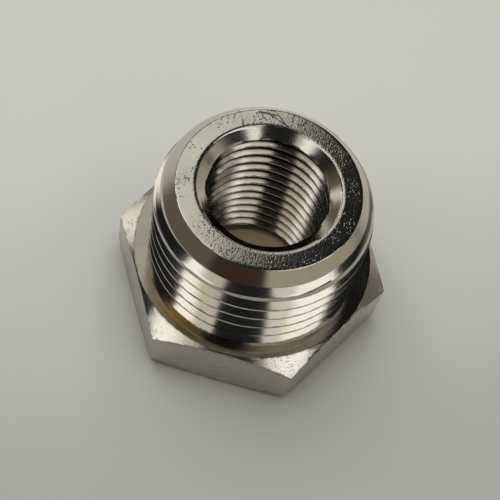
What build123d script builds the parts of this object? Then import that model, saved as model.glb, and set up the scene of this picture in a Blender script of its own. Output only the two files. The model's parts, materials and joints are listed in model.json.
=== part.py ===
from build123d import *
from math import radians, tan
import os

# Hex reducing bushing: a parallel 1/2 in pipe thread outside, a parallel 1/4 in pipe thread inside.
# It is turned from drawn hexagon bar. The fine threads are not cut here: the male end is at the
# thread's major diameter, and the bore is at the size it is drilled to before tapping.
# Origin: middle of the hexagon's flat underside. +Z runs up the axis to the threaded end.
# Two corners of the hexagon lie on the X axis.

# Hexagon bar
across_flats = 24.0
bar_edge_radius = 0.2
hexagon_height = 6.7

# Both ends of the hexagon are turned to a cone outside a flat round land
upper_land_diameter = 23.8
lower_land_diameter = 23.8
hexagon_chamfer_angle = 30.0

# Male end, with a cone that leads into the thread
male_major_diameter = 20.955
male_length = 11.8
end_face_diameter = 17.3
lead_chamfer_angle = 48.0

# Bore through the axis, countersunk at both mouths
tapping_diameter = 11.5
upper_mouth_diameter = 13.6
lower_mouth_diameter = 14.0
countersink_angle = 100.0

# Worked out from the sizes above
overall_length = hexagon_height + male_length
corner_diameter = across_flats * 1.2
upper_land_radius = upper_land_diameter / 2
lower_land_radius = lower_land_diameter / 2
corner_radius = corner_diameter / 2
male_radius = male_major_diameter / 2
end_face_radius = end_face_diameter / 2
hexagon_slope = tan(radians(hexagon_chamfer_angle))
upper_chamfer_drop = (corner_radius - upper_land_radius) * hexagon_slope
lower_chamfer_rise = (corner_radius - lower_land_radius) * hexagon_slope
lead_chamfer_drop = (male_radius - end_face_radius) * tan(radians(lead_chamfer_angle))


with BuildPart() as bushing_body:
    # The bar, with the small edge radius that drawing leaves on it
    with BuildSketch():
        RegularPolygon(radius=across_flats / 2, side_count=6, major_radius=False)
        fillet(vertices(), radius=bar_edge_radius)
    extrude(amount=overall_length)

    # Everything outside this outline is turned away. It reaches past the bar's corners,
    # so that only the flats and the cones are left on the hexagon.
    with BuildSketch(Plane.XZ):
        with BuildLine():
            Polyline(
                (0, 0),
                (lower_land_radius, 0),
                (corner_radius, lower_chamfer_rise),
                (corner_radius, hexagon_height - upper_chamfer_drop),
                (upper_land_radius, hexagon_height),
                (male_radius, hexagon_height),
                (male_radius, overall_length - lead_chamfer_drop),
                (end_face_radius, overall_length),
                (0, overall_length),
                close=True,
            )
        make_face()
    revolve(axis=Axis.Z, mode=Mode.INTERSECT)

    # Bore and its two countersinks
    with Locations((0, 0, overall_length)):
        CounterSinkHole(
            radius=tapping_diameter / 2,
            counter_sink_radius=upper_mouth_diameter / 2,
            depth=overall_length,
            counter_sink_angle=countersink_angle,
        )
    with Locations(Plane.XY.rotated((180, 0, 0))):
        CounterSinkHole(
            radius=tapping_diameter / 2,
            counter_sink_radius=lower_mouth_diameter / 2,
            depth=overall_length,
            counter_sink_angle=countersink_angle,
        )

bushing_body.part.label = "bushing_body"

os.makedirs("parts", exist_ok=True)
export_step(bushing_body.part, "parts/bushing_body.step")
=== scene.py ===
import json
from math import atan2, cos, floor, hypot, pi, radians, sin, sqrt, tan

import bmesh
import bpy
from bpy.props import FloatProperty, FloatVectorProperty, IntProperty, PointerProperty
from mathutils import Matrix, Vector, noise


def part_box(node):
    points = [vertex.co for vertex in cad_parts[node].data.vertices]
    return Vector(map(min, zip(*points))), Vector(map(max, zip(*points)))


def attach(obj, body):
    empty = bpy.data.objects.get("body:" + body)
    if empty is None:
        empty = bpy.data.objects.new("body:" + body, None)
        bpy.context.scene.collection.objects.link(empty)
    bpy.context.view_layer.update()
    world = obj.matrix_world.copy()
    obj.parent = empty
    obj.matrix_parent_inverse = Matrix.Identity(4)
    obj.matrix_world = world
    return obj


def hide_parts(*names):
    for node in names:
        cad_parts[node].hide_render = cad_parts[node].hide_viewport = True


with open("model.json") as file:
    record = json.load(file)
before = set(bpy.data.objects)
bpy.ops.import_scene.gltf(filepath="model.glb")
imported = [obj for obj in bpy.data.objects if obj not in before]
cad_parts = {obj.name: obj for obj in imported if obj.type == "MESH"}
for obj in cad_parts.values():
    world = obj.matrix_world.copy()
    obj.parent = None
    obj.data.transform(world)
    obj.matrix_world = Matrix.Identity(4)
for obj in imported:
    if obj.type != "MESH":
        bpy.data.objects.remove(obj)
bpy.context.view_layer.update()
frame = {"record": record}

bl_info = {
    "name": "Hex bushing",
    "version": (1, 0, 0),
    "blender": (4, 5, 0),
    "location": "3D View > Sidebar > Bushing",
    "description": "A plated hexagon reducing bushing with both of its threads, on a plain studio floor",
    "category": "Add Mesh",
}

MM = 0.001
TURN = 2 * pi
NODE_LOW, NODE_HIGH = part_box("bushing_body")
MOUNTS = {mount["name"]: mount for mount in frame["record"]["mounts"]}
MALE_RADIUS = MOUNTS["male_thread"]["dims"]["r_mm"] * MM
BORE_RADIUS = MOUNTS["female_thread"]["dims"]["r_mm"] * MM
SEAT_HEIGHT = MOUNTS["seat_face"]["pos_m"][2]


# ---------------------------------------------------------------- sizes and finishes

def length(name, description, default):
    return FloatProperty(
        name=name, description=description, default=default, min=0, unit="LENGTH", subtype="DISTANCE"
    )


def angle(name, description, degrees):
    return FloatProperty(
        name=name, description=description, default=radians(degrees), unit="ROTATION", subtype="ANGLE"
    )


def colour(name, description, default):
    return FloatVectorProperty(
        name=name, description=description, default=default, size=3, min=0, max=1, subtype="COLOR"
    )


class BushingSizes(bpy.types.PropertyGroup):
    """Sizes of the bushing's hexagon, male end and bore."""

    across_flats: length("Across flats", "Width of the hexagon", NODE_HIGH[1] - NODE_LOW[1])
    edge_radius: length("Edge radius", "Radius of the hexagon's upright edges", 0.2 * MM)
    hexagon_height: length("Hexagon height", "Underside to seat face", SEAT_HEIGHT)
    land_diameter: length("Land diameter", "Flat round land inside the corner cones", 23.8 * MM)
    corner_slope: angle("Corner slope", "Slope of the cone that cuts the corners", 30)
    overall_length: length("Overall length", "Underside to end face", NODE_HIGH[2] - NODE_LOW[2])
    male_radius: length("Male radius", "Crest radius of the male thread", MALE_RADIUS)
    male_pitch: length("Male pitch", "Rise of the male thread in one turn", 1.814 * MM)
    male_depth: length("Male depth", "Depth of the male thread", 1.162 * MM)
    crest_height: length("First crest", "Height of a male crest on the +X side", 14.518 * MM)
    end_diameter: length("End face diameter", "Outer diameter of the end face", 17.3 * MM)
    lead_slope: angle("Lead slope", "Slope of the cone that leads into the thread", 48)
    relief_angle: angle("Relief angle", "Slant of the cut that thins the first crest", 22)
    relief_drop: length("Relief drop", "How far below the end face that cut reaches", 2.95 * MM)
    lip_drop: length("Lip drop", "How far the two rims of the end face are rounded down", 0.03 * MM)
    bore_radius: length("Bore radius", "Crest radius of the female thread", BORE_RADIUS)
    bore_pitch: length("Bore pitch", "Rise of the female thread in one turn", 1.337 * MM)
    bore_depth: length("Bore depth", "Depth of the female thread", 0.8285 * MM)
    bore_start: length("Bore start", "Depth below the end face at which the female thread starts", 0.95 * MM)
    upper_mouth: length("Upper mouth", "Diameter of the countersink in the end face", 13.6 * MM)
    lower_mouth: length("Lower mouth", "Diameter of the countersink in the underside", 14.0 * MM)
    mouth_angle: angle("Countersink angle", "Included angle of both countersinks", 100)
    steps: IntProperty(name="Steps", description="Faces in one turn, a multiple of 6", default=240, min=48)


class FinishColours(bpy.types.PropertyGroup):
    """Colours of the plating, what shows through it, painted shade and reflections, and the floor."""

    nickel: colour("Nickel", "Bright plating", (0.72, 0.69, 0.62))
    dull_nickel: colour("Dull nickel", "Plating in pits and tool marks", (0.40, 0.37, 0.31))
    # The brass colour is bare metal where the plating is thin, and also paints a golden reflection on the
    # seat ring's front-left side.
    brass_and_painted_reflection: colour("Brass", "Bare metal where the plating is thin", (0.62, 0.45, 0.20))
    # This dark colour is dirt in pits and scores and dark lines along rims, and also painted shade in thread
    # roots and creases, and a painted dark reflection on the left side of the bore.
    grime_and_painted_shade: colour("Grime", "Dirt in pits, scores and thread roots, and along rims", (0.10, 0.09, 0.07))
    floor: colour("Floor", "Plain pale floor", (0.50, 0.503, 0.462))
    # Painted warm bounce light: the floor under the bore is tinted as if lit by light off the brass.
    floor_with_painted_bounce: colour("Floor under the bore", "Floor where the brass tints its light", (0.80, 0.66, 0.38))


# ---------------------------------------------------------------- shape of the bushing

FLANK = radians(27.5)
CREST_SHARE = 0.065         # half the flat of a crest, in pitches
MALE_FLANK_ROWS = 9
BORE_FLANK_ROWS = 4
RUN_OUT_TOP = 0.75 * MM     # a male groove centred this far above the seat face has its full depth
RUN_OUT_FOOT = 0.45 * MM    # and one centred this near to it is gone
BORE_FADE = 0.4 * MM        # the height over which the female thread starts

RING_ROWS = 6
CHAMFER_ROWS = 5
FLAT_ROWS = 6
ROW_GAP = 1 * MM            # rows outside the lands are turned this far apart, then put in place
FLATS_MARK = 20 * MM        # rows on the flats are turned at this radius, clear of all others
HAIR = 1e-7                 # in metres: radii that differ by less are the same

END_ROWS = 8
BURR_GRAIN = 3200.0         # how closely the beads on a rim follow each other
DENT_GRAIN = 700.0          # and the longer dents between them
NIBBLE_GRAIN = 1920.0       # how closely the notches on the hexagon's upper edges follow each other
NIBBLE_DEPTH = 0.05 * MM
ON_LINE = 0.02 * MM         # nearer than this to an edge counts as on it
ON_CONE = 0.01 * MM         # nearer than this to a cone counts as on it

MERGED = 0.002 * MM         # vertices nearer than this become one
SLIVER = 0.0005 * MM        # shorter edges are taken out
SHARP = radians(24)         # edges that turn by more stay sharp


def thread_depth_share(t, pitch, depth):
    """0 on the crest and 1 at the root, for a place t pitches from a crest."""
    along = abs(t - floor(t + 0.5)) * pitch
    crest = CREST_SHARE * pitch
    run = depth * tan(FLANK)
    share = (along - crest) / run
    return min(max(share, 0.0), 1.0)


def profile_rows(pitch, depth, flank_rows):
    """Heights of the rows that one pitch needs, from one crest to the next."""
    crest = CREST_SHARE * pitch
    run = depth * tan(FLANK)
    rows = [0.0]
    rows += [crest + run * i / flank_rows for i in range(flank_rows + 1)]
    half = pitch / 2
    rows += [half]
    rows += [pitch - row for row in reversed(rows[1:-1])]
    return rows + [pitch]


def turned(bm, outline, steps):
    """Turns an open outline of (radius, height) points right round the axis."""
    verts = [bm.verts.new((r, 0, z)) for r, z in outline]
    edges = [bm.edges.new(pair) for pair in zip(verts, verts[1:])]
    bmesh.ops.spin(
        bm, geom=verts + edges, cent=(0, 0, 0), axis=(0, 0, 1), dvec=(0, 0, 0),
        angle=TURN, steps=steps, use_merge=True, use_normal_flip=False, use_duplicate=False,
    )


def helix(bm, rows, radius, start, pitch, turns, steps):
    """Turns one pitch of rows while it rises by a pitch, then stacks copies of that turn."""
    first = len(bm.verts)
    verts = [bm.verts.new((radius, 0, start + row)) for row in rows]
    edges = [bm.edges.new(pair) for pair in zip(verts, verts[1:])]
    bmesh.ops.spin(
        bm, geom=verts + edges, cent=(0, 0, 0), axis=(0, 0, 1), dvec=(0, 0, pitch / steps),
        angle=TURN, steps=steps, use_merge=False, use_normal_flip=False, use_duplicate=False,
    )
    bm.verts.ensure_lookup_table()
    one_turn = bm.verts[first:]
    faces = {face for vert in one_turn for face in vert.link_faces}
    for turn in range(1, turns):
        copy = bmesh.ops.duplicate(bm, geom=one_turn + list(faces))["geom"]
        copied = [item for item in copy if isinstance(item, bmesh.types.BMVert)]
        bmesh.ops.translate(bm, verts=copied, vec=(0, 0, turn * pitch))
    bm.verts.ensure_lookup_table()
    return bm.verts[first:]


def place(vert, r, theta, z):
    vert.co = (r * cos(theta), r * sin(theta), z)


class Male:
    """The male thread: its radius anywhere, and where it meets the seat face."""

    def __init__(self, s):
        self.s = s
        self.end_radius = s.end_diameter / 2
        self.fade_from = s.hexagon_height + RUN_OUT_TOP
        self.fade_to = s.hexagon_height + RUN_OUT_FOOT

    def crest_below(self, theta, z):
        """How many pitches a place is above the first crest's line, and the whole ones of them."""
        turns = (z - self.s.crest_height) / self.s.male_pitch - theta / TURN
        return turns, floor(turns)

    def radius(self, theta, z):
        s = self.s
        turns, crest = self.crest_below(theta, z)
        groove = s.crest_height + (crest + 0.5 + theta / TURN) * s.male_pitch
        full = min(max((groove - self.fade_to) / (self.fade_from - self.fade_to), 0.0), 1.0)
        share = thread_depth_share(turns, s.male_pitch, s.male_depth)
        return s.male_radius - s.male_depth * share * full

    def cone(self, z):
        """Largest radius at a height: the lead cone's, or the relief's where that is less."""
        below = self.s.overall_length - z
        lead = self.end_radius + below / tan(self.s.lead_slope)
        relief = self.s.male_radius - (self.s.relief_drop - below) * tan(self.s.relief_angle)
        return min(lead, relief)


def build_male(bm, s, steps):
    """Male end, from the seat face up to the lip of the end face."""
    thread = Male(s)
    rows = profile_rows(s.male_pitch, s.male_depth, MALE_FLANK_ROWS)
    turns = int((s.overall_length - s.hexagon_height) / s.male_pitch) + 3
    down = floor((s.crest_height - s.hexagon_height) / s.male_pitch) + 2
    start = s.crest_height - down * s.male_pitch
    lip = s.overall_length - s.lip_drop
    for vert in helix(bm, rows, s.male_radius, start, s.male_pitch, turns, steps):
        theta = atan2(vert.co.y, vert.co.x)
        z = vert.co.z
        if z >= lip:
            place(vert, thread.cone(lip), theta, lip)
        elif z <= s.hexagon_height:
            place(vert, thread.radius(theta, s.hexagon_height), theta, s.hexagon_height)
        else:
            place(vert, min(thread.radius(theta, z), thread.cone(z)), theta, z)


def bore_radius(s, theta, z):
    """Radius of the female thread, which fades in below the upper mouth."""
    share = thread_depth_share(z / s.bore_pitch - theta / TURN, s.bore_pitch, s.bore_depth)
    full = min(max((s.overall_length - s.bore_start - z) / BORE_FADE, 0.0), 1.0)
    return s.bore_radius + s.bore_depth * share * full


def build_bore(bm, s, steps):
    """Bore with its thread, from the underside up to the lip at the upper mouth."""
    rows = profile_rows(s.bore_pitch, s.bore_depth, BORE_FLANK_ROWS)
    turns = int(s.overall_length / s.bore_pitch) + 3
    slope = tan(s.mouth_angle / 2)
    lip = s.overall_length - s.lip_drop
    for vert in helix(bm, rows, s.bore_radius, -2 * s.bore_pitch, s.bore_pitch, turns, steps):
        theta = atan2(vert.co.y, vert.co.x)
        z = vert.co.z
        if z >= lip:
            place(vert, s.upper_mouth / 2 - s.lip_drop * slope, theta, lip)
        elif z <= 0:
            place(vert, s.lower_mouth / 2, theta, 0)
        else:
            upper = s.upper_mouth / 2 - (s.overall_length - z) * slope
            lower = s.lower_mouth / 2 - z * slope
            place(vert, max(bore_radius(s, theta, z), upper, lower), theta, z)


def hexagon_radius(s, theta):
    """Radius of the hexagon at an angle, with the drawn edge radius at its corners."""
    apothem = s.across_flats / 2
    off = (theta + pi / 6) % (pi / 3) - pi / 6          # angle from the nearest corner
    flat = pi / 6 - abs(off)                            # angle from the middle of the flat
    straight = apothem / cos(flat)
    centre = (apothem - s.edge_radius) / cos(pi / 6)    # centre of the corner's arc
    reach = centre * cos(off) + sqrt(max(s.edge_radius ** 2 - (centre * sin(off)) ** 2, 0.0))
    tangent = atan2(s.edge_radius * sin(pi / 6), centre + s.edge_radius * cos(pi / 6))
    return reach if abs(off) < tangent else straight


def gather_at_corner(theta, s, steps):
    """Draws the two steps beside each corner in to the ends of its arc."""
    centre = (s.across_flats / 2 - s.edge_radius) / cos(pi / 6)
    tangent = atan2(s.edge_radius * sin(pi / 6), centre + s.edge_radius * cos(pi / 6))
    step = TURN / steps
    off = (theta + pi / 6) % (pi / 3) - pi / 6
    if abs(off) < step * 0.5:
        return theta
    side = 1 if off > 0 else -1
    reach = pi / 6 - step
    moved = tangent + (abs(off) - step) * (pi / 6 - tangent) / reach
    return theta - off + side * moved


def build_hexagon(bm, s, steps):
    """Seat ring, hexagon and underside, between the male thread's foot and the lower mouth."""
    thread = Male(s)
    land = s.land_diameter / 2
    slope = tan(s.corner_slope)
    top = s.hexagon_height
    foot, mouth = s.male_radius, s.lower_mouth / 2
    outline = [(foot + (land - foot) * i / RING_ROWS, top) for i in range(RING_ROWS + 1)]
    outline += [(land + i * ROW_GAP, top) for i in range(1, CHAMFER_ROWS + 1)]
    outline += [(FLATS_MARK, top * (1 - i / FLAT_ROWS)) for i in range(1, FLAT_ROWS)]
    outline += [(land + i * ROW_GAP, 0) for i in range(CHAMFER_ROWS, 0, -1)]
    outline += [(land + (mouth - land) * i / RING_ROWS, 0) for i in range(RING_ROWS + 1)]
    first = len(bm.verts)
    turned(bm, outline, steps)
    bm.verts.ensure_lookup_table()
    for vert in bm.verts[first:]:
        x, y, z = vert.co
        r, theta = hypot(x, y), atan2(y, x)
        if r < land + HAIR:
            if z > top / 2 and r < foot + 10 * HAIR:
                place(vert, thread.radius(theta, top), theta, top)
            continue
        theta_in = gather_at_corner(theta, s, steps)
        edge = hexagon_radius(s, theta_in)
        drop = max(edge - land, 0.0) * slope
        upper, lower = top - drop, drop
        if r > FLATS_MARK - ROW_GAP:
            place(vert, edge, theta_in, lower + (upper - lower) * z / top)
            continue
        share = round((r - land) / ROW_GAP) / CHAMFER_ROWS
        blend = theta + (theta_in - theta) * share
        edge_here = hexagon_radius(s, blend)
        radius = land + (edge_here - land) * share
        rise = (radius - land) * slope
        place(vert, radius, blend, top - rise if z > top / 2 else rise)


def build_end_face(bm, s, steps):
    """Flat face with a rounded lip at its outer rim and at the mouth."""
    top, drop = s.overall_length, s.lip_drop
    outer, inner = s.end_diameter / 2, s.upper_mouth / 2
    shoulder_in, shoulder_down, flat_in = 1.2 * drop, 0.3 * drop, 3 * drop
    outline = [(Male(s).cone(top - drop), top - drop), (outer - shoulder_in, top - shoulder_down)]
    flat_from, flat_to = outer - flat_in, inner + flat_in
    outline += [(flat_from + (flat_to - flat_from) * i / END_ROWS, top) for i in range(END_ROWS + 1)]
    outline += [(inner + shoulder_in, top - shoulder_down)]
    outline += [(inner - drop * tan(s.mouth_angle / 2), top - drop)]
    turned(bm, outline, steps)


def roughen_rims(bm, s):
    """Small beads and dents along the rims, as turning and tumbling leave them."""
    top = s.overall_length
    # each rim's radius and height, and how far its beads reach
    rims = (
        (s.end_diameter / 2, top, 0.016 * MM),
        (s.upper_mouth / 2, top, 0.012 * MM),
        (s.land_diameter / 2, s.hexagon_height, 0.025 * MM),
    )
    for vert in bm.verts:
        x, y, z = vert.co
        r = hypot(x, y)
        for radius, height, reach in rims:
            if abs(z - height) > 1.1 * s.lip_drop or abs(r - radius) > 1.5 * s.lip_drop:
                continue
            bead = noise.noise(vert.co * BURR_GRAIN)
            dent = noise.noise(vert.co * DENT_GRAIN)
            moved = r + reach * (bead + 0.5 * dent)
            vert.co = (x * moved / r, y * moved / r, z + 0.5 * reach * min(bead, 0.0))


def nibble_hexagon(bm, s):
    """Breaks up the line where each flat meets the upper corner cones."""
    land = s.land_diameter / 2
    slope = tan(s.corner_slope)
    for vert in bm.verts:
        x, y, z = vert.co
        r = hypot(x, y)
        theta = atan2(y, x)
        edge = hexagon_radius(s, theta)
        drop = (edge - land) * slope
        if r < land + ON_LINE or abs(z - (s.hexagon_height - drop)) > ON_LINE:
            continue
        if abs(r - edge) > ON_LINE:
            continue
        bead = noise.noise(vert.co * NIBBLE_GRAIN)
        vert.co.z = z + NIBBLE_DEPTH * min(bead, 0.1)


def mark_sharp(bm, limit):
    """Keeps edges sharp that turn by more than the limit, and marks their ends for the darkened edges: dark
    lines on rims, and painted shade in creases and thread roots.
    """
    for edge in bm.edges:
        if len(edge.link_faces) == 2 and edge.calc_face_angle(0) > limit:
            edge.smooth = False
    layer = bm.verts.layers.float.new("edge_wear")
    for edge in bm.edges:
        if not edge.smooth:
            for vert in edge.verts:
                vert[layer] = 1.0


# ---------------------------------------------------------------- materials

# Scales of the patterns: how many of their cells stand in a metre
TOOL_MARK_GRAIN = 6000.0
PIT_GRAIN = 7000.0
SCRATCH_GRAIN = 900.0
RIM_GRAIN = 1500.0
SCORE_GRAIN = 5000.0
BLOTCH_GRAIN = 380.0
PATCH_GRAIN = 260.0

DULL_SHARE = 0.18           # the most that dull patches take from the bright plating
PATCH_ROUGHNESS = 0.03
SCRATCH_ROUGHNESS = 0.12
SCRATCH_DEPTH = 0.12        # depths are in shares of BUMP_REACH
SCORE_DEPTH = 3.0
SCORE_DARKNESS = 0.85
BUMP_REACH = 0.02 * MM

class Nodes:
    """Short calls that add nodes to one tree and link them."""

    def __init__(self, tree):
        self.tree = tree

    def add(self, kind, inputs=(), **settings):
        node = self.tree.nodes.new(kind)
        for key, value in settings.items():
            setattr(node, key, value)
        for key, value in dict(inputs).items():
            self.feed(node.inputs[key], value)
        return node

    def feed(self, socket, value):
        if isinstance(value, bpy.types.NodeSocket):
            self.tree.links.new(value, socket)
        else:
            socket.default_value = value

    def math(self, operation, *values, clamp=False):
        node = self.add("ShaderNodeMath", operation=operation, use_clamp=clamp)
        for socket, value in zip(node.inputs, values):
            self.feed(socket, value)
        return node.outputs[0]

    def ramp(self, value, low, high, start=0.0, end=1.0):
        inputs = {"Value": value, "From Min": low, "From Max": high, "To Min": start, "To Max": end}
        node = self.add("ShaderNodeMapRange", inputs, interpolation_type="SMOOTHSTEP")
        return node.outputs["Result"]

    def mix(self, factor, first, second):
        node = self.add("ShaderNodeMix", data_type="RGBA")
        self.feed(node.inputs[0], factor)
        self.feed(node.inputs[6], first)
        self.feed(node.inputs[7], second)
        return node.outputs[2]

    def noise(self, vector, scale, detail=2.0, roughness=0.5):
        inputs = {"Vector": vector, "Scale": scale, "Detail": detail, "Roughness": roughness}
        return self.add("ShaderNodeTexNoise", inputs).outputs["Fac"]


def rgba(value, share=1.0):
    return (*[channel * share for channel in value], 1.0)


def group(name, inputs, outputs):
    """A new node group with float inputs and outputs. Returns it, its calls, and its two ends."""
    tree = bpy.data.node_groups.new(name, "ShaderNodeTree")
    for label, default in inputs:
        socket = tree.interface.new_socket(label, in_out="INPUT", socket_type="NodeSocketFloat")
        socket.default_value = default
    for label in outputs:
        tree.interface.new_socket(label, in_out="OUTPUT", socket_type="NodeSocketFloat")
    nodes = Nodes(tree)
    return tree, nodes, nodes.add("NodeGroupInput"), nodes.add("NodeGroupOutput")


def position(nodes):
    """Object coordinates, the distance from the axis and the height."""
    where = nodes.add("ShaderNodeTexCoord").outputs["Object"]
    apart = nodes.add("ShaderNodeSeparateXYZ", {"Vector": where})
    x, y, z = apart.outputs
    squares = nodes.math("ADD", nodes.math("MULTIPLY", x, x), nodes.math("MULTIPLY", y, y))
    return where, nodes.math("SQRT", squares), z


def tool_marks_group():
    """Fine turned rings that follow the axis, on faces and on cylinders."""
    tree, nodes, start, end = group("tool_marks", [("Scale", TOOL_MARK_GRAIN), ("Depth", 1.0)], ["Height"])
    _, r, z = position(nodes)
    section = nodes.add("ShaderNodeCombineXYZ", {"X": r, "Y": z}).outputs[0]
    rings = nodes.noise(section, start.outputs["Scale"], 3.0, 0.7)
    nodes.feed(end.inputs["Height"], nodes.math("MULTIPLY", rings, start.outputs["Depth"]))
    return tree


def pits_group():
    """Grain over a whole face, and sharp little pits scattered over it."""
    tree, nodes, start, end = group(
        "pits", [("Scale", PIT_GRAIN), ("Grain", 0.3), ("Pits", 0.5)], ["Height", "Mask"]
    )
    where, _, _ = position(nodes)
    scale = start.outputs["Scale"]
    grain = nodes.noise(where, scale, 3.0, 0.6)
    cells = nodes.add("ShaderNodeTexVoronoi", {"Vector": where, "Scale": scale}).outputs
    chance = nodes.add("ShaderNodeSeparateColor", {"Color": cells["Color"]}).outputs[0]
    crowds = nodes.noise(where, nodes.math("MULTIPLY", scale, 0.08), 2.0)
    thick = nodes.ramp(crowds, 0.35, 0.65, 0.3, 1.0)
    picked = nodes.ramp(nodes.math("MULTIPLY", chance, thick), 0.45, 0.60)
    bowl = nodes.math("MULTIPLY", nodes.ramp(cells["Distance"], 0.15, 0.55, 1.0, 0.0), picked)
    mask = nodes.math("MULTIPLY", bowl, start.outputs["Pits"])
    raised = nodes.math("SUBTRACT", nodes.math("MULTIPLY", grain, start.outputs["Grain"]), mask)
    nodes.feed(end.inputs["Height"], raised)
    nodes.feed(end.inputs["Mask"], mask)
    return tree


def scratches_group():
    """Thin scratches in two directions."""
    tree, nodes, start, end = group("scratches", [("Scale", SCRATCH_GRAIN), ("Amount", 1.0)], ["Mask"])
    where, _, _ = position(nodes)
    marks = None
    for turn, shift in ((0.5, 0.0), (2.1, 0.4)):
        mapped = nodes.add(
            "ShaderNodeMapping",
            {"Vector": where, "Rotation": (0.0, 0.0, turn), "Scale": (1.0, 0.05, 1.0),
             "Location": (shift, 0.0, 0.0)},
        ).outputs[0]
        lines = nodes.noise(mapped, start.outputs["Scale"], 1.0)
        off_line = nodes.math("ABSOLUTE", nodes.math("SUBTRACT", lines, 0.5))
        thin = nodes.ramp(off_line, 0.0, 0.012, 1.0, 0.0)
        marks = thin if marks is None else nodes.math("MAXIMUM", marks, thin)
    nodes.feed(end.inputs["Mask"], nodes.math("MULTIPLY", marks, start.outputs["Amount"]))
    return tree


def dark_rims_and_shade_group():
    """Where the mesh says an edge is, broken up by grain: dark lines on rims, and painted shade in creases
    and thread roots.
    """
    tree, nodes, start, end = group("edge_wear", [("Amount", 1.0)], ["Mask"])
    where, _, _ = position(nodes)
    edge = nodes.add("ShaderNodeAttribute", attribute_name="edge_wear").outputs["Fac"]
    broken = nodes.ramp(nodes.noise(where, RIM_GRAIN, 3.0), 0.35, 0.65)
    mask = nodes.math("MULTIPLY", nodes.ramp(edge, 0.35, 0.95), broken)
    nodes.feed(end.inputs["Mask"], nodes.math("MULTIPLY", mask, start.outputs["Amount"]))
    return tree


def score_group():
    """One straight score on the end face, from Start to Finish."""
    tree, nodes, start, end = group("score", [("Width", 0.1 * MM)], ["Mask"])
    for label in ("Start", "Finish"):
        tree.interface.new_socket(label, in_out="INPUT", socket_type="NodeSocketVector")
    where, _, _ = position(nodes)

    def vector(operation, *values):
        node = nodes.add("ShaderNodeVectorMath", operation=operation)
        for socket, value in zip(node.inputs, values):
            nodes.feed(socket, value)
        return node

    begin, finish = start.outputs["Start"], start.outputs["Finish"]
    run = vector("SUBTRACT", finish, begin).outputs["Vector"]
    away = vector("SUBTRACT", where, begin).outputs["Vector"]
    along = nodes.math(
        "DIVIDE", vector("DOT_PRODUCT", away, run).outputs["Value"],
        vector("DOT_PRODUCT", run, run).outputs["Value"], clamp=True,
    )
    scaled = nodes.add("ShaderNodeVectorMath", operation="SCALE")
    nodes.feed(scaled.inputs["Vector"], run)
    nodes.feed(scaled.inputs["Scale"], along)
    off = vector("LENGTH", vector("SUBTRACT", away, scaled.outputs["Vector"]).outputs["Vector"])
    ragged = nodes.ramp(nodes.noise(where, SCORE_GRAIN), 0.3, 0.7, 0.5, 1.1)
    width = nodes.math("MULTIPLY", start.outputs["Width"], ragged)
    core = nodes.math("MULTIPLY", width, 0.5)
    nodes.feed(end.inputs["Mask"], nodes.ramp(off.outputs["Value"], core, width, 1.0, 0.0))
    return tree


# Where each score starts and ends on the end face, and its width, in mm
GOUGE = ((-2.9, 7.8), (-1.3, 7.9), 0.16)
LONG_SCORE = ((-1.9, 7.8), (0.3, 7.0), 0.09)
SHORT_SCORE = ((-1.3, 8.2), (-0.1, 7.1), 0.08)
MOUTH_NICK = ((-4.2, 6.4), (-3.9, 5.6), 0.10)
SMALL_NICK = ((-3.6, 6.1), (-3.5, 5.7), 0.08)
RIM_NICK = ((1.4, 7.5), (1.8, 8.8), 0.08)
SCORES = (GOUGE, LONG_SCORE, SHORT_SCORE, MOUTH_NICK, SMALL_NICK, RIM_NICK)


def use(nodes, tree, **inputs):
    """Places a node group in a material with its own values."""
    node = nodes.add("ShaderNodeGroup", node_tree=tree)
    for key, value in inputs.items():
        nodes.feed(node.inputs[key], value)
    return node.outputs


def scored(nodes, tree, height):
    """All the scores on the end face in one mask."""
    mask = 0.0
    for begin, finish, width in SCORES:
        ends = {
            "Start": (begin[0] * MM, begin[1] * MM, height),
            "Finish": (finish[0] * MM, finish[1] * MM, height),
        }
        mask = nodes.math("MAXIMUM", mask, use(nodes, tree, Width=width * MM, **ends)["Mask"])
    return mask


def painted_side_patch(nodes, around, spread):
    """A blotchy patch of painted reflection or shade on the side that faces the angle around. Spread is the
    cosine of its reach.
    """
    where, r, z = position(nodes)
    x, y, _ = nodes.add("ShaderNodeSeparateXYZ", {"Vector": where}).outputs
    side = nodes.math(
        "ADD", nodes.math("MULTIPLY", x, cos(around)), nodes.math("MULTIPLY", y, sin(around))
    )
    side = nodes.ramp(nodes.math("DIVIDE", side, r), spread, spread + 0.6 * (1 - spread))
    blotch = nodes.ramp(nodes.noise(where, BLOTCH_GRAIN, 3.0), 0.30, 0.60)
    return nodes.math("MULTIPLY", side, blotch)


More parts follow.
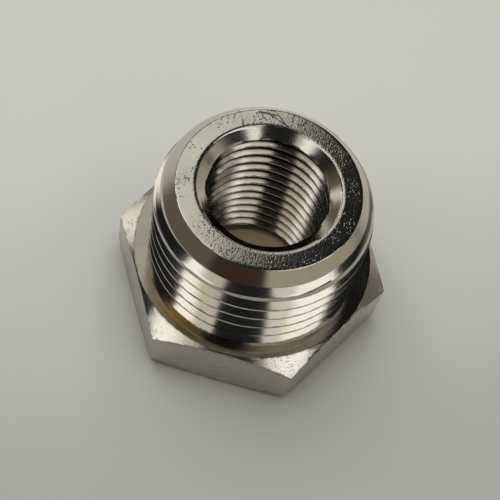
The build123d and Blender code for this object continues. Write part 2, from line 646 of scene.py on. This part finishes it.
def metal(name, colours, groups, roughness, tone=1.0, rings=0.0, grain=0.3, pits=0.2, pit_scale=PIT_GRAIN,
          scratches=0.3, bump=0.3, rim=0.5, warmth=0.0, patch=0.0, patch_around=0.0, patch_spread=0.8,
          patch_colour=None, scores_at=None, roots=None):
    """One plated finish: tool marks, pits, scratches, dark rims with painted shade in creases and roots,
    painted shade over the face and a painted reflection on one side, in its own shares.
    """
    material = bpy.data.materials.new(name)
    material.use_nodes = True
    tree = material.node_tree
    tree.nodes.clear()
    nodes = Nodes(tree)
    marks = use(nodes, groups["tool_marks"], Scale=TOOL_MARK_GRAIN, Depth=rings)["Height"]
    pitted = use(nodes, groups["pits"], Scale=pit_scale, Grain=grain, Pits=pits)
    scratched = use(nodes, groups["scratches"], Scale=SCRATCH_GRAIN, Amount=scratches)["Mask"]
    rim_dark_and_shade = use(nodes, groups["edge_wear"], Amount=rim)["Mask"]
    where, r, _ = position(nodes)
    patches = nodes.ramp(nodes.noise(where, PATCH_GRAIN, 3.0), 0.3, 0.7)
    dulled = nodes.math("MULTIPLY", patches, DULL_SHARE)
    # The plating's colours are darkened by this face's level: painted shade over the whole face.
    base = nodes.mix(dulled, rgba(colours.nickel, tone), rgba(colours.dull_nickel, tone))
    base = nodes.mix(warmth, base, rgba(colours.brass_and_painted_reflection, tone))
    # Painted shade: the thread roots are darkened.
    if roots:
        base = nodes.mix(nodes.ramp(r, *roots), base, rgba(colours.grime_and_painted_shade))
    # Painted reflection or shade: a blotchy colour on one side of the face.
    if patch:
        patched = nodes.math("MULTIPLY", painted_side_patch(nodes, patch_around, patch_spread), patch)
        base = nodes.mix(patched, base, rgba(patch_colour, tone))
    base = nodes.mix(pitted["Mask"], base, rgba(colours.grime_and_painted_shade))
    # Sharp edges darkened: dark lines on rims, and painted shade in creases and thread roots.
    base = nodes.mix(rim_dark_and_shade, base, rgba(colours.grime_and_painted_shade))
    rough = nodes.math("ADD", roughness, nodes.math("MULTIPLY", patches, PATCH_ROUGHNESS))
    rough = nodes.math("ADD", rough, nodes.math("MULTIPLY", scratched, SCRATCH_ROUGHNESS), clamp=True)
    height = nodes.math("ADD", marks, pitted["Height"])
    height = nodes.math("SUBTRACT", height, nodes.math("MULTIPLY", scratched, SCRATCH_DEPTH))
    if scores_at is not None:
        score = scored(nodes, groups["score"], scores_at)
        base = nodes.mix(nodes.math("MULTIPLY", score, SCORE_DARKNESS), base, rgba(colours.grime_and_painted_shade))
        height = nodes.math("SUBTRACT", height, nodes.math("MULTIPLY", score, SCORE_DEPTH))
    bumped = nodes.add(
        "ShaderNodeBump", {"Height": height, "Strength": bump, "Distance": BUMP_REACH}
    ).outputs["Normal"]
    shader = nodes.add(
        "ShaderNodeBsdfPrincipled",
        {"Base Color": base, "Roughness": rough, "Normal": bumped, "Metallic": 1.0},
    )
    out = nodes.add("ShaderNodeOutputMaterial")
    tree.links.new(shader.outputs[0], out.inputs[0])
    return material


def finishes(colours, s):
    """The seven finishes, in the order that their numbers below give."""
    groups = {
        "tool_marks": tool_marks_group(), "pits": pits_group(), "scratches": scratches_group(),
        "edge_wear": dark_rims_and_shade_group(), "score": score_group(),
    }

    def made(name, **shares):
        return metal(name, colours, groups, **shares)

    return [
        made("turned_nickel", roughness=0.08, rings=0.35, grain=0.15, pits=0.12, scratches=0.1, bump=0.30,
             rim=0.8),
        made("pitted_end_face", roughness=0.08, rings=0.10, grain=0.55, pits=0.65, pit_scale=4600.0,
             scratches=0.25, bump=0.60, rim=0.35, scores_at=s.overall_length),
        # The seat ring is darkened as painted shade and has a painted golden reflection on its front-left
        # side.
        made("turned_seat_ring", roughness=0.10, tone=0.66, rings=0.6, grain=0.25, pits=0.3, scratches=0.1,
             bump=0.32, rim=0.6, warmth=0.12, patch=0.75, patch_around=radians(-122), patch_spread=0.88,
             patch_colour=colours.brass_and_painted_reflection),
        # The flats are darkened as painted shade, for the shaded floor they reflect.
        made("drawn_flats", roughness=0.25, tone=0.78, grain=0.35, pits=0.25, scratches=0.1, bump=0.28,
             rim=0.6, warmth=0.10),
        made("corner_cones", roughness=0.13, rings=0.3, grain=0.5, pits=0.55, scratches=0.1, bump=0.40,
             rim=0.6),
        # The lead cone is darkened a little as painted shade.
        made("lead_cone", roughness=0.12, tone=0.90, rings=0.5, grain=0.2, pits=0.2, scratches=0.05,
             bump=0.30, rim=0.4),
        # The bore is darkened a little as painted shade, has painted shade in its thread roots and a painted
        # dark reflection on its left side.
        made("tapped_bore", roughness=0.11, tone=0.92, rings=0.5, grain=0.3, pits=0.2, scratches=0.0,
             bump=0.30, rim=0.9, warmth=0.05, patch=0.95, patch_around=radians(160), patch_spread=0.78,
             patch_colour=colours.grime_and_painted_shade,
             roots=(s.bore_radius + 0.15 * s.bore_depth, s.bore_radius + 0.75 * s.bore_depth)),
    ]


TURNED, END_FACE, SEAT_RING, FLATS, CORNERS, LEAD_CONE, BORE = range(7)

# How level a face is, from 0 upright to 1 flat
ENDS_FROM = 0.75
RINGS_FROM = 0.999
FLATS_TO = 0.3


def choose_finish(face, s):
    """Which finish a face has, from where it is and which way it faces."""
    centre = face.calc_center_median()
    r = hypot(centre.x, centre.y)
    level = abs(face.normal.z)
    if level > ENDS_FROM and centre.z > s.overall_length - 1.1 * s.lip_drop:
        return END_FACE
    if level > RINGS_FROM:
        return SEAT_RING
    if r > s.land_diameter / 2 - ON_LINE:
        return FLATS if level < FLATS_TO else CORNERS
    if r > (s.upper_mouth + s.end_diameter) / 4:
        return LEAD_CONE if abs(r - Male(s).cone(centre.z)) < ON_CONE else TURNED
    slope = tan(s.mouth_angle / 2)
    below, above = s.overall_length - centre.z, centre.z
    mouth = max(s.upper_mouth / 2 - below * slope, s.lower_mouth / 2 - above * slope)
    return LEAD_CONE if abs(r - mouth) < ON_CONE else BORE


# ---------------------------------------------------------------- operators

class BUSHING_OT_body(bpy.types.Operator):
    """Builds the bushing with both threads, in place of the plain body"""

    bl_idname = "bushing.body"
    bl_label = "Bushing"

    def execute(self, context):
        s = context.scene.bushing_sizes
        if s.steps % 6:
            raise ValueError("steps has to be a multiple of 6")
        bm = bmesh.new()
        build_male(bm, s, s.steps)
        build_bore(bm, s, s.steps)
        build_hexagon(bm, s, s.steps)
        build_end_face(bm, s, s.steps)
        bmesh.ops.remove_doubles(bm, verts=bm.verts, dist=MERGED)
        bmesh.ops.dissolve_degenerate(bm, edges=bm.edges, dist=SLIVER)
        bmesh.ops.recalc_face_normals(bm, faces=bm.faces)
        bm.normal_update()
        if any(len(edge.link_faces) != 2 for edge in bm.edges):
            raise RuntimeError("the bushing's surface isn't closed")
        roughen_rims(bm, s)
        nibble_hexagon(bm, s)
        bm.normal_update()
        for face in bm.faces:
            face.smooth = True
            face.material_index = choose_finish(face, s)
        mark_sharp(bm, SHARP)
        mesh = bpy.data.meshes.new("bushing")
        bm.to_mesh(mesh)
        bm.free()
        for material in finishes(context.scene.finish_colours, s):
            mesh.materials.append(material)
        piece = bpy.data.objects.new("bushing", mesh)
        context.scene.collection.objects.link(piece)
        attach(piece, "root")
        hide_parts("bushing_body")
        return {"FINISHED"}


# Places and the lens are in mm, the roll in degrees
CAMERA_PLACE = (0.974, -57.039, 107.098)
CAMERA_AIM = (-0.269, -1.0, 8.0)
CAMERA_ROLL = 14.684
CAMERA_LENS = 83.02
CAMERA_CLIP = 1
LAMP_PLACE = (-40, 75, 325)
LAMP_AIM = (0, 0, 0)

# In metres and watts
LAMP_SIZE = 0.34
LAMP_POWER = 0.95
FLOOR_REACH = 1.5

# Colours of the room, where 1 is white
PALE_ROOM = (0.78, 0.78, 0.74, 1)
DARK_CEILING = (0.012, 0.013, 0.014, 1)
LEFT_FRONT = (0.62, 0.59, 0.50, 1)
LEFT_BACK = (0.72, 0.715, 0.64, 1)
LEFT_OUTSIDE = (1.30, 1.28, 1.20, 1)
RIGHT_INSIDE = (0.78, 0.755, 0.675, 1)
RIGHT_OUTSIDE = (1.25, 1.23, 1.16, 1)
HORIZON_LEFT = (0.14, 0.12, 0.085, 1)
HORIZON_RIGHT = (0.44, 0.40, 0.31, 1)
BACK_LEFT = (1.15, 1.12, 1.02, 1)
BACK_RIGHT = (0.14, 0.13, 0.11, 1)
BROWN_FRONT = (0.055, 0.030, 0.020, 1)

# Borders on the ceiling, in ceiling heights: across to the right, or along to the back
LEFT_INNER_SLANT, LEFT_INNER = 0.196, -0.1455
LEFT_BEND, LEFT_OUTER = (-0.38, -0.31), (-0.90, -0.70)
RIGHT_INNER_SLANT, RIGHT_INNER, RIGHT_INNER_LEAST = -0.93, -0.193, 0.16
RIGHT_OUTER = 0.98
WINDOWS_FRONT, LEFT_END, RIGHT_END = -1.3, 0.95, 0.30
SIDE_BLUR, END_BLUR = 0.015, 0.03
LEFT_TURNS_PALE, LEFT_TURNS_WHITE, RIGHT_TURNS_WHITE = (-0.2, 0.4), (-0.44, -0.58), (0.46, 0.58)

# Borders round the horizon, as parts of a ray's direction, each from where it starts to its end
LEAST_RISE = 0.05
CEILING_FROM = (0.42, 0.56)
HORIZON_SIDES = (-0.35, 0.35)
BACK_FROM, BACK_RISE, BACK_SIDES = (0.15, 0.35), (0.22, 0.34), (-0.2, 0.2)
BROWN_FROM, BROWN_SIDES, BROWN_BLUR = (-0.55, -0.75), (-0.5, 0.3), 0.05


def aim(place_mm, target_mm, roll_degrees):
    """Matrix of a lamp or camera that stands at one place and looks at another."""
    place_m, target = Vector(place_mm) * MM, Vector(target_mm) * MM
    turn = (target - place_m).to_track_quat("-Z", "Y").to_matrix()
    turn = turn @ Matrix.Rotation(radians(roll_degrees), 3, "Z")
    return Matrix.Translation(place_m) @ turn.to_4x4()


def studio_world():
    """A pale room for camera rays. Other rays meet a dark ceiling with two windows, and a horizon."""
    world = bpy.data.worlds.new("studio")
    world.use_nodes = True
    tree = world.node_tree
    tree.nodes.clear()
    nodes = Nodes(tree)
    way = nodes.add("ShaderNodeTexCoord").outputs["Generated"]
    x, y, z = nodes.add("ShaderNodeSeparateXYZ", {"Vector": way}).outputs
    up = nodes.math("MAXIMUM", z, LEAST_RISE)
    across, along = nodes.math("DIVIDE", x, up), nodes.math("DIVIDE", y, up)

    def between(value, low, high, soft):
        rise = nodes.ramp(value, nodes.math("SUBTRACT", low, soft), nodes.math("ADD", low, soft))
        below, above = nodes.math("SUBTRACT", high, soft), nodes.math("ADD", high, soft)
        return nodes.math("MULTIPLY", rise, nodes.ramp(value, below, above, 1.0, 0.0))

    def line(value, slope, offset):
        return nodes.math("ADD", nodes.math("MULTIPLY", value, slope), offset)

    def window(outer, inner, end):
        sides = between(across, outer, inner, SIDE_BLUR)
        return nodes.math("MULTIPLY", sides, between(along, WINDOWS_FRONT, end, END_BLUR))

    # The left window: its inner side slants, and it is wider at the front
    outer, inner = nodes.ramp(along, *LEFT_BEND, *LEFT_OUTER), line(along, LEFT_INNER_SLANT, LEFT_INNER)
    left = window(outer, inner, LEFT_END)
    left_light = nodes.mix(nodes.ramp(along, *LEFT_TURNS_PALE), LEFT_FRONT, LEFT_BACK)
    left_light = nodes.mix(nodes.ramp(across, *LEFT_TURNS_WHITE), left_light, LEFT_OUTSIDE)
    # The right window: its inner side slants too
    slant = line(along, RIGHT_INNER_SLANT, RIGHT_INNER)
    right = window(nodes.math("MAXIMUM", slant, RIGHT_INNER_LEAST), RIGHT_OUTER, RIGHT_END)
    right_light = nodes.mix(nodes.ramp(across, *RIGHT_TURNS_WHITE), RIGHT_INSIDE, RIGHT_OUTSIDE)
    ceiling = nodes.mix(left, DARK_CEILING, left_light)
    ceiling = nodes.mix(right, ceiling, right_light)
    horizon = nodes.mix(nodes.ramp(x, *HORIZON_SIDES), HORIZON_LEFT, HORIZON_RIGHT)
    back = nodes.math("MULTIPLY", nodes.ramp(y, *BACK_FROM), nodes.ramp(z, *BACK_RISE))
    horizon = nodes.mix(back, horizon, nodes.mix(nodes.ramp(x, *BACK_SIDES), BACK_LEFT, BACK_RIGHT))
    front = nodes.math("MULTIPLY", nodes.ramp(y, *BROWN_FROM), between(x, *BROWN_SIDES, BROWN_BLUR))
    horizon = nodes.mix(front, horizon, BROWN_FRONT)
    seen = nodes.mix(nodes.ramp(z, *CEILING_FROM), horizon, ceiling)
    camera_ray = nodes.add("ShaderNodeLightPath").outputs["Is Camera Ray"]
    final = nodes.mix(camera_ray, seen, PALE_ROOM)
    background = nodes.add("ShaderNodeBackground", {"Color": final, "Strength": 1.0})
    out = nodes.add("ShaderNodeOutputWorld")
    tree.links.new(background.outputs[0], out.inputs[0])
    return world


# The floor's colour is painted darker at the front and lighter at the back: a painted falloff of light.
FLOOR_SLANT = 0.4           # the floor's shade runs to the back, and this much to the left
FLOOR_FADE = 25 * MM
FLOOR_NEAR, FLOOR_FAR = 0.82, 1.15
WARM_FROM, WARM_TO = 5.5 * MM, 7.0 * MM
FLOOR_ROUGHNESS = 0.6


def floor_material(colours):
    """Pale floor with painted light: painted a little lighter at the back, and a painted warm bounce light
    where only the bore shows it.
    """
    material = bpy.data.materials.new("pale_floor")
    material.use_nodes = True
    tree = material.node_tree
    nodes = Nodes(tree)
    shader = tree.nodes["Principled BSDF"]
    where, r, _ = position(nodes)
    x, y, _ = nodes.add("ShaderNodeSeparateXYZ", {"Vector": where}).outputs
    # Painted shade: the floor darkens towards the front and lightens towards the back.
    away = nodes.math("SUBTRACT", y, nodes.math("MULTIPLY", x, FLOOR_SLANT))
    far = nodes.ramp(away, -FLOOR_FADE, FLOOR_FADE)
    paint = nodes.mix(far, rgba(colours.floor, FLOOR_NEAR), rgba(colours.floor, FLOOR_FAR))
    # Painted warm bounce light from the brass, on the floor under the bore.
    bounced = nodes.ramp(r, WARM_FROM, WARM_TO, 1.0, 0.0)
    nodes.feed(shader.inputs["Base Color"], nodes.mix(bounced, paint, rgba(colours.floor_with_painted_bounce)))
    shader.inputs["Roughness"].default_value = FLOOR_ROUGHNESS
    return material


class BUSHING_OT_stage(bpy.types.Operator):
    """Sets the floor, the lamp, the surroundings and the camera"""

    bl_idname = "bushing.stage"
    bl_label = "Stage"

    def execute(self, context):
        scene = context.scene
        bm = bmesh.new()
        bmesh.ops.create_grid(bm, x_segments=1, y_segments=1, size=FLOOR_REACH)
        mesh = bpy.data.meshes.new("floor")
        bm.to_mesh(mesh)
        bm.free()
        mesh.materials.append(floor_material(scene.finish_colours))
        ground = bpy.data.objects.new("floor", mesh)
        scene.collection.objects.link(ground)

        lamp = bpy.data.lights.new("soft_overhead", "AREA")
        lamp.size = LAMP_SIZE
        lamp.energy = LAMP_POWER
        hung = bpy.data.objects.new("soft_overhead", lamp)
        hung.matrix_world = aim(LAMP_PLACE, LAMP_AIM, 0)
        hung.visible_glossy = False
        hung.visible_camera = False
        scene.collection.objects.link(hung)

        scene.world = studio_world()
        camera = bpy.data.objects.new("camera", bpy.data.cameras.new("camera"))
        camera.matrix_world = aim(CAMERA_PLACE, CAMERA_AIM, CAMERA_ROLL)
        camera.data.lens = CAMERA_LENS
        camera.data.clip_start = CAMERA_CLIP * MM
        scene.collection.objects.link(camera)
        scene.camera = camera
        scene.view_settings.view_transform = "Standard"
        return {"FINISHED"}


class BUSHING_PT_panel(bpy.types.Panel):
    """Lists the sizes, the colours and the two build buttons"""

    bl_label = "Hex bushing"
    bl_idname = "BUSHING_PT_panel"
    bl_space_type = "VIEW_3D"
    bl_region_type = "UI"
    bl_category = "Bushing"

    def draw(self, context):
        layout = self.layout
        for settings in (context.scene.bushing_sizes, context.scene.finish_colours):
            box = layout.box()
            for name in settings.__annotations__:
                box.prop(settings, name)
        layout.operator(BUSHING_OT_body.bl_idname)
        layout.operator(BUSHING_OT_stage.bl_idname)


CLASSES = (BushingSizes, FinishColours, BUSHING_OT_body, BUSHING_OT_stage, BUSHING_PT_panel)


def register():
    for cls in CLASSES:
        bpy.utils.register_class(cls)
    bpy.types.Scene.bushing_sizes = PointerProperty(type=BushingSizes)
    bpy.types.Scene.finish_colours = PointerProperty(type=FinishColours)


def unregister():
    del bpy.types.Scene.finish_colours
    del bpy.types.Scene.bushing_sizes
    for cls in reversed(CLASSES):
        bpy.utils.unregister_class(cls)


def main():
    register()
    bpy.ops.bushing.body()
    bpy.ops.bushing.stage()


if __name__ == "__main__":
    main()
